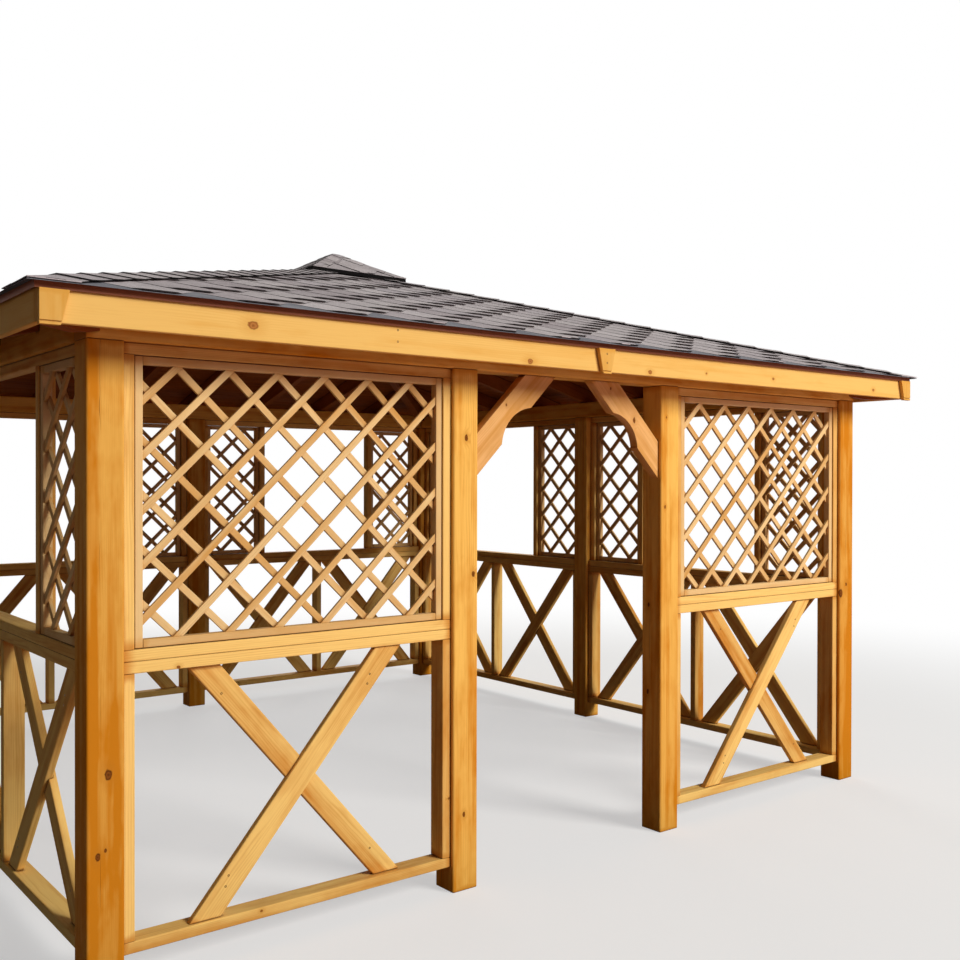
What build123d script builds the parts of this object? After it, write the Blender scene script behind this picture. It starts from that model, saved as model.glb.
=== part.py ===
from build123d import *
import os
from math import atan2, degrees, hypot, sqrt

# All lengths are in millimetres, +Z is up and the front looks along -Y.
# The origin is on the ground at the centre of the plan.

# Plan
front_length = 4120.0    # over the outer faces of the corner posts, along X
side_length = 4120.0     # the same along Y
post_width = 120.0
door_width = 1060.0      # clear, between the two door posts
joint_gap = 0.3          # between boards that are butted together

# Heights
beam_underside = 2060.0
beam_height = 100.0
beam_width = 120.0
rail_underside = 100.0      # of the bottom rail of every balustrade
balustrade_top = 1037.0

# Balustrades, set back behind the posts' outer faces
panel_setback = 18.0
rail_height = 39.0
rail_depth = 80.0
stud_width = 39.0

# Cross braces, two boards notched together where they cross
brace_spread = 840.0            # over both ends of one cross
brace_width = 86.0
brace_thickness = 28.0
front_brace_setback = 12.0      # of the board in front, behind the rail's face
rear_brace_setback = 26.0       # of the board behind it

# Screen frames over the balustrades
screen_timber = 38.0
screen_depth = 60.0
side_screen_width = 490.0       # from a post to the window beside it

# Lattice panels inside the screen frames
lattice_frame_width = 29.0
lattice_frame_depth = 34.0
lattice_setback = 6.0           # of a panel behind the screen frame's face
lattice_pitch = 183.0           # along the wall, from crossing to crossing
lattice_rows = 5                # crossings up the height of a panel
slat_width = 24.0
slat_thickness = 12.0
slat_housing = 8.0              # how far a slat's end is let into its frame

# Braces in the doorway
door_brace_drop = 428.0         # from the beam to the low end
door_brace_width = 119.0
door_brace_thickness = 45.0
door_brace_arc_chord = 218.0
door_brace_arc_depth = 40.0

# Roof
eaves_overhang = 200.0          # from the posts to the fascia's outer face
deck_overhang = 8.0             # of the roof boards beyond the fascia
cover_overhang = 38.0           # of the shingles beyond the fascia
cover_edge_height = 2188.0      # top of the shingles at the eaves
cover_peak_height = 2838.0      # where the four slopes would meet
cover_thickness = 8.0           # measured plumb
deck_thickness = 18.0           # measured plumb
rafter_width = 45.0
rafter_depth = 95.0             # measured plumb
rafters_per_side = 7
hip_width = 60.0
hip_depth = 150.0               # measured plumb
peak_block_width = 160.0
peak_block_height = 240.0

# Fascia and its trim
fascia_thickness = 25.0
fascia_underside = 2069.0
front_joint = -29.0             # along X, where the front fascia's boards meet
keystone_top = 94.0
keystone_bottom = 46.0
corner_block_top = 86.0
corner_block_bottom = 60.0
trim_thickness = 20.0
trim_drop = 8.0                 # of the keystones and corner blocks below the fascia
trim_groove = 4.0               # high and deep, across their faces at the fascia's lower edge
drip_thickness = 2.0
drip_lap = 8.0                  # how far the drip edge hangs over the fascia

# Cap over the peak
cap_width = 600.0
cap_lift = 63.0                 # how much more it rises than the shingles under it
cap_thickness = 26.0            # measured plumb
cap_standoff = 2.0              # plumb, from the shingles to the cap's lower edges
curb_width = 500.0
curb_thickness = 40.0

# Planed edges
post_chamfer = 5.0
board_chamfer = 2.5

# Walls, by the side that they stand on
half_front = front_length / 2
half_side = side_length / 2
wall_turn = {"front": 0.0, "right": 90.0, "back": 180.0, "left": 270.0}
wall_span = {"front": front_length, "back": front_length, "left": side_length, "right": side_length}
wall_offset = {"front": half_side, "back": half_side, "left": half_front, "right": half_front}


# Shared helpers
# In a wall's own frame x runs along it from left to right as seen from outside, with 0 at its
# middle, y runs inwards from the posts' outer faces, and z is the height.
def placed(wall, shape):
    return Rot(0, 0, wall_turn[wall]) * (Pos(0, -wall_offset[wall], 0) * shape)


def block(x0, x1, y0, y1, z0, z1):
    box = Box(x1 - x0, y1 - y0, z1 - z0)
    return Pos((x0 + x1) / 2, (y0 + y1) / 2, (z0 + z1) / 2) * box


def eased(solid, axis, size):
    # the long edges of a planed board
    return chamfer(solid.edges().filter_by(axis), size)


def upright(x0, x1, y0, y1, z0, z1):
    return eased(block(x0, x1, y0, y1, z0, z1), Axis.Z, board_chamfer)


def level(x0, x1, y0, y1, z0, z1):
    return eased(block(x0, x1, y0, y1, z0, z1), Axis.X, board_chamfer)


def plate(outline, y0, y1):
    # an upright plate between two depths, from its outline in x and z
    face = make_face(Plane.XZ * outline)
    return Pos(0, y1, 0) * extrude(face, amount=y1 - y0, dir=(0, -1, 0))


def save(name, shapes):
    solids = [solid for shape in shapes for solid in shape.solids()]
    part = solids[0] if len(solids) == 1 else Compound(children=solids)
    part.label = name
    export_step(part, f"parts/{name}.step")


# Posts
def post(x, y):
    half = post_width / 2
    stick = block(x - half, x + half, y - half, y + half, 0, beam_underside)
    return eased(stick, Axis.Z, post_chamfer)


def make_posts():
    side_x = half_front - post_width / 2
    front_y = half_side - post_width / 2
    door_x = (door_width + post_width) / 2
    save("post_front_left", [post(-side_x, -front_y)])
    save("post_door_left", [post(-door_x, -front_y)])
    save("post_door_right", [post(door_x, -front_y)])
    save("post_front_right", [post(side_x, -front_y)])
    save("post_left_middle", [post(-side_x, 0)])
    save("post_right_middle", [post(side_x, 0)])
    save("post_back_left", [post(-side_x, front_y)])
    save("post_back_middle", [post(0, front_y)])
    save("post_back_right", [post(side_x, front_y)])


# Beams on the posts
def beam(wall):
    # the front and back beams run through, and the other two are butted between them
    reach = wall_span[wall] / 2
    if wall in ("left", "right"):
        reach -= beam_width + joint_gap
    stick = block(-reach, reach, 0, beam_width, beam_underside, beam_underside + beam_height)
    return placed(wall, eased(stick, Axis.X, post_chamfer))


def make_beams():
    for wall in wall_turn:
        save(f"beam_{wall}", [beam(wall)])


# Bays: the left and the right end of each space between two posts
def bays(wall):
    end = wall_span[wall] / 2 - post_width
    if wall == "front":
        door_post = door_width / 2 + post_width
        return [(-end, -door_post), (door_post, end)]
    return [(-end, -post_width / 2), (post_width / 2, end)]


# Balustrades
rail_top = rail_underside + rail_height
upper_rail_underside = balustrade_top - rail_height


def brace_fields(wall, left, right):
    # the fields between the studs of one bay; all but the front bays have a stud in the middle
    start, end = left + joint_gap + stud_width, right - joint_gap - stud_width
    if wall == "front":
        return [(start, end)]
    middle = (left + right) / 2
    return [(start, middle - stud_width / 2), (middle + stud_width / 2, end)]


def balustrade(wall, left, right):
    front, back = panel_setback, panel_setback + rail_depth
    start, end = left + joint_gap, right - joint_gap
    boards = [
        level(start, end, front, back, rail_underside, rail_top),
        level(start, end, front, back, upper_rail_underside, balustrade_top),
    ]
    field_ends = [x for field in brace_fields(wall, left, right) for x in field]
    stud_ends = [start] + field_ends + [end]
    low, high = rail_top + joint_gap, upper_rail_underside - joint_gap
    for stud_left, stud_right in zip(stud_ends[0::2], stud_ends[1::2]):
        boards.append(upright(stud_left, stud_right, front, back, low, high))
    return boards


# Cross braces
brace_low = rail_top + joint_gap
brace_high = upper_rail_underside - joint_gap
brace_rise = brace_high - brace_low


def level_cut():
    # length of the level cut at a brace's end, for which the cross has its spread
    run = brace_width
    for _ in range(20):
        run = brace_width * hypot(brace_rise, brace_spread - run) / brace_rise
    return run


brace_cut = level_cut()


def brace_board(low_x, high_x, cut, y0, y1):
    # a board from low_x on the bottom rail to high_x under the upper one
    outline = Polyline(
        (low_x - cut / 2, brace_low),
        (low_x + cut / 2, brace_low),
        (high_x + cut / 2, brace_high),
        (high_x - cut / 2, brace_high),
        close=True,
    )
    return plate(outline, y0, y1)


def cross(middle):
    reach = (brace_spread - brace_cut) / 2
    front = panel_setback + front_brace_setback
    rear = panel_setback + rear_brace_setback
    low, high = middle - reach, middle + reach
    rising = brace_board(low, high, brace_cut, front, front + brace_thickness)
    falling = brace_board(high, low, brace_cut, rear, rear + brace_thickness)
    # the rear board is notched to half its thickness, to let the front one through
    notch = brace_board(low, high, brace_cut + 2 * joint_gap, front, front + brace_thickness + joint_gap)
    return [rising, falling - notch]


# Screen frames
screen_low = balustrade_top + joint_gap
screen_high = beam_underside - joint_gap
screen_sill_top = screen_low + screen_timber
screen_head_underside = screen_high - screen_timber


def screen_frame(wall, left, right):
    front, back = panel_setback, panel_setback + screen_depth
    start, end = left + joint_gap, right - joint_gap
    boards = [
        level(start, end, front, panel_setback + rail_depth, screen_low, screen_sill_top),
        level(start, end, front, back, screen_head_underside, screen_high),
    ]
    edges = [start, end - screen_timber]
    if wall != "front":
        edges += [left + side_screen_width - screen_timber, right - side_screen_width]
    low, high = screen_sill_top + joint_gap, screen_head_underside - joint_gap
    for edge in edges:
        boards.append(upright(edge, edge + screen_timber, front, back, low, high))
    return boards


# Lattice panels
lattice_low = screen_sill_top + joint_gap
lattice_high = screen_head_underside - joint_gap
lattice_inner_low = lattice_low + lattice_frame_width
lattice_inner_high = lattice_high - lattice_frame_width
lattice_rise = (lattice_inner_high - lattice_inner_low) / lattice_rows


def lattice_fields(wall, left, right):
    # the left and the right end of each panel of a bay
    edge = screen_timber + 2 * joint_gap
    if wall == "front":
        return [(left + edge, right - edge)]
    inner = side_screen_width - screen_timber - joint_gap
    return [(left + edge, left + inner), (right - inner, right - edge)]


def slat(x, climb, y0, length):
    # through the point x on the panel's lower edge; climb is 1 when it rises to the right, or -1
    angle = degrees(atan2(lattice_rise, lattice_pitch))
    bar = Rot(0, -climb * angle, 0) * Box(length, slat_thickness, slat_width)
    return Pos(x, y0 + slat_thickness / 2, lattice_inner_low) * bar


def lattice_panel(width):
    # a panel with its middle at x = 0 and the front of its frame at y = 0
    half = width / 2
    inner = half - lattice_frame_width
    depth = lattice_frame_depth
    frame = block(-half, half, 0, depth, lattice_low, lattice_high)
    frame -= block(-inner, inner, -depth, 2 * depth, lattice_inner_low, lattice_inner_high)
    front_layer = depth / 2 - slat_thickness
    rear_layer = depth / 2
    field_height = lattice_inner_high - lattice_inner_low
    field = block(
        -inner - slat_housing, inner + slat_housing, 0, depth,
        lattice_inner_low - slat_housing, lattice_inner_high + slat_housing,
    )
    # with an even number of crossings along the edge, none stands in the panel's middle
    crossings = round(2 * inner / lattice_pitch)
    shift = lattice_pitch / 2 if crossings % 2 == 0 else 0
    reach = int((width + field_height) / lattice_pitch) + 1
    slats = []
    for k in range(-reach, reach + 1):
        x = shift + k * lattice_pitch
        length = 2 * hypot(width + field_height, field_height)
        for climb, layer in ((1, front_layer), (-1, rear_layer)):
            cut = slat(x, climb, layer, length) & field
            slats += cut.solids() if cut else []
    return frame.fuse(*slats)


# Everything in the four walls
def make_walls():
    for wall in wall_turn:
        rails, braces, frames, panels = [], [], [], []
        for left, right in bays(wall):
            rails += balustrade(wall, left, right)
            frames += screen_frame(wall, left, right)
            for start, end in brace_fields(wall, left, right):
                braces += cross((start + end) / 2)
            for start, end in lattice_fields(wall, left, right):
                middle = (start + end) / 2
                panels.append(Pos(middle, panel_setback + lattice_setback, 0) * lattice_panel(end - start))
        save(f"{wall}_balustrade", [placed(wall, board) for board in rails])
        save(f"{wall}_cross_braces", [placed(wall, board) for board in braces])
        save(f"{wall}_screen_frames", [placed(wall, board) for board in frames])
        save(f"{wall}_lattices", [placed(wall, panel) for panel in panels])


# Braces in the doorway
def door_brace():
    # the left one climbs from the left door post to the beam, with an arched lower edge
    low = beam_underside - joint_gap - door_brace_drop
    high = beam_underside - joint_gap
    foot_x = -door_width / 2 + joint_gap
    head_x = foot_x + door_brace_drop
    cut = door_brace_width * sqrt(2)
    middle_x, middle_z = (foot_x + head_x) / 2, (low + high) / 2
    step = door_brace_arc_chord / 2 / sqrt(2)
    dip = door_brace_arc_depth / sqrt(2)
    low_shoulder = (middle_x - step, middle_z - step)
    high_shoulder = (middle_x + step, middle_z + step)
    arch = ThreePointArc(low_shoulder, (middle_x - dip, middle_z + dip), high_shoulder)
    straight = Polyline(
        high_shoulder, (head_x, high), (head_x - cut, high),
        (foot_x, low + cut), (foot_x, low), low_shoulder,
    )
    return plate(Curve([arch, straight]), panel_setback, panel_setback + door_brace_thickness)


def make_door_braces():
    brace = placed("front", door_brace())
    save("door_brace_left", [brace])
    save("door_brace_right", [mirror(brace, Plane.YZ)])


# Roof slopes
# A slope falls from the centre of the plan; depth is measured plumb from the shingles' top.
fascia_x = half_front + eaves_overhang
fascia_y = half_side + eaves_overhang
cover_x = fascia_x + cover_overhang
cover_y = fascia_y + cover_overhang
cover_fall = cover_peak_height - cover_edge_height
across_walls = ("front", "back")    # the walls that run along X


def slope_height(wall, x, y, depth):
    part_way = abs(y) / cover_y if wall in across_walls else abs(x) / cover_x
    return cover_peak_height - cover_fall * part_way - depth


def slope_slab(wall, outline, depth, thickness):
    # a slab with plumb sides and level thickness, over an outline in plan
    points = [Vector(x, y, slope_height(wall, x, y, depth)) for x, y in outline]
    face = Face(Wire.make_polygon(points, close=True))
    return Solid.extrude(face, Vector(0, 0, -thickness))


def slope_outline(wall, overhang, gap):
    # one slope in plan, up to an overhang from the fascia and clear of its neighbours by gap
    reach_x, reach_y = fascia_x + overhang, fascia_y + overhang
    hip_length = hypot(cover_x, cover_y)
    gap_x, gap_y = gap * hip_length / cover_y, gap * hip_length / cover_x
    if wall in across_walls:
        side = 1 if wall == "back" else -1
        edge = reach_y * cover_x / cover_y - gap_x
        return [(-edge, side * reach_y), (edge, side * reach_y), (0, side * gap_y)]
    side = 1 if wall == "right" else -1
    edge = reach_x * cover_y / cover_x - gap_y
    return [(side * reach_x, -edge), (side * reach_x, edge), (side * gap_x, 0)]


def roof_body(overhang, depth, thickness):
    slabs = [slope_slab(wall, slope_outline(wall, overhang, 0), depth, thickness) for wall in wall_turn]
    return slabs[0].fuse(*slabs[1:])


rafter_top = cover_thickness + deck_thickness    # depth of the rafters' upper edges


def make_covers():
    shingles, boards = [], []
    for wall in wall_turn:
        outline = slope_outline(wall, cover_overhang, joint_gap / 2)
        shingles.append(slope_slab(wall, outline, 0, cover_thickness))
        outline = slope_outline(wall, deck_overhang, joint_gap / 2)
        boards.append(slope_slab(wall, outline, cover_thickness, deck_thickness))
    save("shingle_layer", shingles)
    save("roof_deck", boards)


# Rafters, notched over the beams that carry them
tail_x = fascia_x - fascia_thickness - joint_gap
tail_y = fascia_y - fascia_thickness - joint_gap
block_side = peak_block_width / 2 + joint_gap


def hip_rafter(beams):
    # from the front left corner up to the peak block
    length = hypot(tail_x, tail_y)
    web = Pos(-length / 2, 0, 0) * Box(length, hip_width, 2 * cover_peak_height)
    web = Rot(0, 0, degrees(atan2(tail_y, tail_x))) * web
    tail_height = slope_height("front", 0, tail_y, rafter_top)
    peak_height = slope_height("front", 0, 0, rafter_top)
    underside = Polyline(
        (-length, tail_height - hip_depth), (0, peak_height - hip_depth),
        (0, cover_peak_height), (-length, cover_peak_height), close=True,
    )
    above = plate(underside, -length, length)
    above = Rot(0, 0, degrees(atan2(tail_y, tail_x))) * above
    under_deck = roof_body(-fascia_thickness - joint_gap, rafter_top, cover_peak_height)
    core = Box(2 * block_side, 2 * block_side, 2 * cover_peak_height)
    # outside the posts the tail ends level with the fascia's lower edge
    below = Box(2 * cover_x, 2 * cover_y, 2 * fascia_underside)
    below -= Box(front_length, side_length, 2 * fascia_underside)
    return (web & above & under_deck) - core - below - beams["front"] - beams["left"]


def jack_outline(wall, along):
    # from the fascia to the side of the hip rafter, or to the peak block in a slope's middle
    half = rafter_width / 2
    tail = tail_y if wall in across_walls else tail_x
    hip_ratio = cover_y / cover_x if wall in across_walls else cover_x / cover_y
    hip_side = (hip_width / 2 + joint_gap) * hypot(1, hip_ratio)
    corners = [(along - half, tail), (along + half, tail)]
    for x in (along + half, along - half):
        over_peak = abs(along) < half
        corners.append((x, block_side if over_peak else abs(x) * hip_ratio + hip_side))
    side = 1 if wall in ("back", "right") else -1
    if wall in across_walls:
        return [(x, side * y) for x, y in corners]
    return [(side * y, x) for x, y in corners]


def make_rafters():
    beams = {wall: beam(wall) for wall in wall_turn}
    hip = hip_rafter(beams)
    hips = [hip, mirror(hip, Plane.YZ)]
    hips += [mirror(side, Plane.XZ) for side in hips]
    save("hip_rafters", hips)
    jacks = []
    for wall in wall_turn:
        spacing = wall_span[wall] / (rafters_per_side + 1)
        for k in range(rafters_per_side):
            along = (k - (rafters_per_side - 1) / 2) * spacing
            rafter = slope_slab(wall, jack_outline(wall, along), rafter_top, rafter_depth)
            jacks.append(rafter - beams[wall])
    save("jack_rafters", jacks)


def make_peak_block():
    high = slope_height("front", 0, 0, rafter_top)
    half = peak_block_width / 2
    stick = block(-half, half, -half, half, high - peak_block_height, high)
    save("peak_block", [stick & roof_body(0, rafter_top, cover_peak_height)])


# Fascia
def fascia_top(wall):
    # just under the roof boards at the fascia's outer face
    return slope_height(wall, fascia_x, fascia_y, rafter_top) - joint_gap


def fascia_joint(wall):
    return front_joint if wall == "front" else 0.0


def make_fascias():
    for wall in wall_turn:
        reach = fascia_x if wall in across_walls else fascia_y - fascia_thickness - joint_gap
        joint = fascia_joint(wall)
        front = -eaves_overhang
        back = front + fascia_thickness
        ends = [(-reach, joint - joint_gap / 2), (joint + joint_gap / 2, reach)]
        boards = [level(x0, x1, front, back, fascia_underside, fascia_top(wall)) for x0, x1 in ends]
        save(f"fascia_{wall}", [placed(wall, board) for board in boards])


# Keystones over the fascias' joints, and blocks on the ends of the front and back fascias
def trim(wall, *corners):
    # from the corners of its face, with a groove across the face at the fascia's lower edge
    back = -eaves_overhang - joint_gap
    front = back - trim_thickness
    board = plate(Polyline(*corners, close=True), front, back)
    groove = block(
        -cover_x, cover_x, front - trim_groove, front + trim_groove,
        fascia_underside, fascia_underside + trim_groove,
    )
    return placed(wall, board - groove)


def make_fascia_trim():
    keystones, ends = [], []
    for wall in wall_turn:
        low, high = fascia_underside - trim_drop, fascia_top(wall) - drip_lap - joint_gap
        middle = fascia_joint(wall)
        top, bottom = keystone_top / 2, keystone_bottom / 2
        keystones.append(trim(
            wall, (middle - top, high), (middle + top, high), (middle + bottom, low), (middle - bottom, low),
        ))
        if wall not in across_walls:
            continue
        for side in (-1, 1):
            ends.append(trim(
                wall, (side * fascia_x, low), (side * fascia_x, high),
                (side * (fascia_x - corner_block_top), high), (side * (fascia_x - corner_block_bottom), low),
            ))
    save("fascia_keystones", keystones)
    save("fascia_corner_blocks", ends)


# Drip edges, along the ends of the roof boards under the shingles
def make_drip_edges():
    back = -eaves_overhang - deck_overhang - joint_gap
    front = back - drip_thickness
    strips = []
    for wall in wall_turn:
        reach = (fascia_x if wall in across_walls else fascia_y) + deck_overhang
        if wall in across_walls:
            reach += joint_gap + drip_thickness
        outer_x, outer_y = half_front - front, half_side - front
        high = slope_height(wall, outer_x, outer_y, cover_thickness) - joint_gap
        low = fascia_top(wall) - drip_lap
        strips.append(placed(wall, block(-reach, reach, front, back, low, high)))
    save("drip_edges", strips)


# Cap
def pyramid(width, edge_height, peak_height, thickness):
    half = width / 2
    corners = [(-half, -half), (half, -half), (half, half), (-half, half)]
    slabs = []
    for k in range(4):
        low_edge = [Vector(*corners[k], edge_height), Vector(*corners[(k + 1) % 4], edge_height)]
        face = Face(Wire.make_polygon(low_edge + [Vector(0, 0, peak_height)], close=True))
        slabs.append(Solid.extrude(face, Vector(0, 0, -thickness)))
    return slabs[0].fuse(*slabs[1:])


def make_cap():
    reach = cap_width / 2
    highest_shingle = max(slope_height("front", 0, reach, 0), slope_height("left", reach, 0, 0))
    edge_height = highest_shingle + cap_standoff + cap_thickness
    peak_height = cover_peak_height + cap_standoff + cap_thickness + cap_lift
    save("cap_roof", [pyramid(cap_width, edge_height, peak_height, cap_thickness)])
    # the curb stands on the shingles and carries the cap
    inner_width = curb_width - 2 * curb_thickness
    side = Box(curb_width, curb_width, 2 * cover_peak_height)
    side -= Box(inner_width, inner_width, 2 * cover_peak_height)
    gap = cap_thickness + joint_gap
    under_cap = pyramid(cap_width, edge_height - gap, peak_height - gap, cap_width)
    over_roof = roof_body(0, -joint_gap, cap_width)
    save("cap_curb", [(side & under_cap) - over_roof])


os.makedirs("parts", exist_ok=True)
make_posts()
make_beams()
make_walls()
make_door_braces()
make_covers()
make_rafters()
make_peak_block()
make_fascias()
make_fascia_trim()
make_drip_edges()
make_cap()
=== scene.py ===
# Dresses the garden gazebo: glazed pine boards, lattice slats, hexagonal shingles and screws
import math
import random
from functools import partial

import bmesh
import bpy
from mathutils import Matrix, Vector


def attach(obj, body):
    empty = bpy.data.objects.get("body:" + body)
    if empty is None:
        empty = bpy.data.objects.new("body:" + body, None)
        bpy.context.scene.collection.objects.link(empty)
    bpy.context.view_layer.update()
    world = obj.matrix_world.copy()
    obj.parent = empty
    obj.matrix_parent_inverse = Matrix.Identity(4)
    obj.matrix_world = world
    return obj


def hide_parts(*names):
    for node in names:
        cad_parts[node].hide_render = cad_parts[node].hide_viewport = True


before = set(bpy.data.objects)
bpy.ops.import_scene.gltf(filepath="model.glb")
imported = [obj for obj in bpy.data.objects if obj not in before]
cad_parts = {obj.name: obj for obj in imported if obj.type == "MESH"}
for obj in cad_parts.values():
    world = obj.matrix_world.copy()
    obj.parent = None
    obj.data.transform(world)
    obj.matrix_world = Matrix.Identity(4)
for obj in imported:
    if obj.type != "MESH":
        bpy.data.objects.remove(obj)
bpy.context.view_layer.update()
scene = bpy.context.scene
chance = random.Random(24793)      # the grain's place and the tone of each board

# The four walls. In a wall's own frame x runs along it, left to right from outside, and y inwards.
wallTurn = {"front": 0, "right": 90, "back": 180, "left": 270}
wallFace = 2.06                    # from the middle to the outer faces of the posts


def turned(wall):
    return Matrix.Rotation(math.radians(wallTurn[wall]), 4, "Z")


def wallPlace(wall):
    return turned(wall) @ Matrix.Translation((0, -wallFace, 0))


# Nodes and colours
def linear(hexColour):
    # sRGB hex to the linear values that a socket takes
    parts = [int(hexColour[i:i + 2], 16) / 255 for i in (1, 3, 5)]
    return [c / 12.92 if c <= 0.04045 else ((c + 0.055) / 1.055) ** 2.4 for c in parts] + [1.0]


def addNode(tree, kind, inputs=None, stops=(), **settings):
    # an input is a value, a hex colour, a socket, or a node, which gives its first output in use
    node = tree.nodes.new(kind)
    for name, value in settings.items():
        setattr(node, name, value)
    for key, value in (inputs or {}).items():
        if isinstance(value, bpy.types.Node):
            value = next(output for output in value.outputs if output.enabled)
        if isinstance(value, bpy.types.NodeSocket):
            tree.links.new(value, node.inputs[key])
        else:
            node.inputs[key].default_value = linear(value) if str(value).startswith("#") else value
    for i, (position, colour) in enumerate(stops):
        elements = node.color_ramp.elements
        element = elements[i] if i < len(elements) else elements.new(1.0)
        element.position = position
        element.color = linear(colour)
    return node


def startNodes(holder):
    holder.use_nodes = True
    holder.node_tree.nodes.clear()
    return partial(addNode, holder.node_tree)


def newMaterial(name):
    material = bpy.data.materials.new(name)
    return material, startNodes(material)


# Planed pine under a clear golden glaze, brushed on in two coats. The eye gets broad streaks along
# the grain, faint year lines that come and go, knots with darker rims, deeper orange near cut ends where
# the glaze soaks in, with painted shade where those ends meet other boards, painted shade in the
# corners where boards meet, and a low, soft sheen. The year lines are 5 to 8 mm apart, as the
# wood's own. Fibres are drawn 3 mm wide, as finer ones would be lost.
pineLook = {
    "knots": [],                   # those that show in front: place and radius, before any stretch
    "knotStretch": (1.0, 1.0, 1.0),
    "haloShare": 0.5,              # of late wood's colour round a knot
    "footDepth": 0.0,              # darker, deeper orange towards the feet
    "check": 0.0,                  # half width of the drying check
    "checkPlace": 0.015,           # across the board, from its pith
    # deeper orange near board ends: glaze that soaks in, and painted shade where the ends meet other boards
    "checkShare": 0.8,
    "soakReach": 0.09,
    "soakShare": 0.75,
    "boardDepth": 0.34,            # glaze, for a board of tone 1
    "boardTone": -0.045,           # brightness, for a board of tone 1
    "endShare": 0.6,
    # painted shade in the corners where boards meet
    "cornerReach": 0.014,
    "cornerShare": 0.75,
}
postPine = {**pineLook, "knotCore": "#8A4E18", "pale": "#F4BE5C", "late": "#C67E24", "deep": "#D08018",
            "knot": "#5A2C0E", "end": "#A8621A", "ring": 0.006, "lateShare": 0.3, "streakShare": 0.65,
            "footDepth": 0.42, "check": 0.0014, "knotCell": 0.5, "knotSize": 0.009,
            "knotStretch": (1.0, 1.0, 0.6),
            "knots": [((-1.992, -2.06, 0.693), 0.013), ((-2.025, -2.06, 0.44), 0.009),
                      ((-2.001, -2.06, 0.456), 0.005), ((-0.589, -2.06, 1.789), 0.009),
                      ((-0.553, -2.06, 1.25), 0.008), ((-0.598, -2.06, 0.301), 0.007),
                      ((0.557, -2.06, 1.501), 0.006), ((0.565, -2.06, 1.914), 0.004),
                      ((1.95, -2.06, 1.015), 0.016), ((0.53, -1.984, 1.045), 0.007),
                      ((0.53, -1.98, 0.641), 0.008)]}
doorBracePine = {**postPine, "pale": "#EBB672", "late": "#C88A48", "deep": "#CC8A34",
                 "footDepth": 0.0, "check": 0.0,
                 "knots": [((0.371, -2.042, 1.894), 0.009), ((0.223, -2.042, 2.029), 0.005),
                           ((-0.371, -2.042, 1.93), 0.004)]}
panelPine = {**pineLook, "knotCore": "#A46426", "pale": "#F7CC76", "late": "#D0923C", "deep": "#C87C24",
             "knot": "#763E14", "end": "#B87428", "ring": 0.005, "lateShare": 0.36, "streakShare": 0.5,
             "knotCell": 0.45, "knotSize": 0.007, "knotStretch": (0.8, 1.0, 1.0),
             "knots": [((-1.756, -2.042, 1.005), 0.006), ((-1.459, -2.042, 0.127), 0.005),
                       ((-0.658, -2.042, 0.372), 0.005)]}
latticePine = {**pineLook, "knotCore": "#A86A30", "pale": "#E8C588", "late": "#CF9A5C", "deep": "#D49C50",
               "knot": "#864E20", "end": "#BD8038", "ring": 0.0045, "lateShare": 0.34, "streakShare": 0.5,
               "knotCell": 0.6, "knotSize": 0.004}
fasciaPine = {**pineLook, "knotCore": "#B87A3C", "pale": "#EBBD68", "late": "#D69C46", "deep": "#DC9C3C",
              "knot": "#945826", "end": "#B87C2E", "ring": 0.0085, "lateShare": 0.2, "streakShare": 0.5,
              "knotCell": 0.7, "knotSize": 0.009, "knotStretch": (0.75, 1.0, 1.0),
              "knots": [((-1.596, -2.26, 2.118), 0.016), ((-0.428, -2.26, 2.085), 0.012),
                        ((0.244, -2.26, 2.086), 0.010), ((0.609, -2.26, 2.104), 0.005),
                        ((1.091, -2.26, 2.109), 0.007), ((1.936, -2.26, 2.101), 0.008)]}
# The roof's boards and rafters take a darker, redder copy of the pine: painted shade of the roof's underside.
roofPineShaded = {**pineLook, "knotCore": "#5A3014", "pale": "#A05A26", "late": "#743A16", "deep": "#7E3E16",
            "knot": "#4A2410", "end": "#6E3F1A", "ring": 0.006, "lateShare": 0.45, "streakShare": 0.6,
            "knotCell": 0.4, "knotSize": 0.010}


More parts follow.
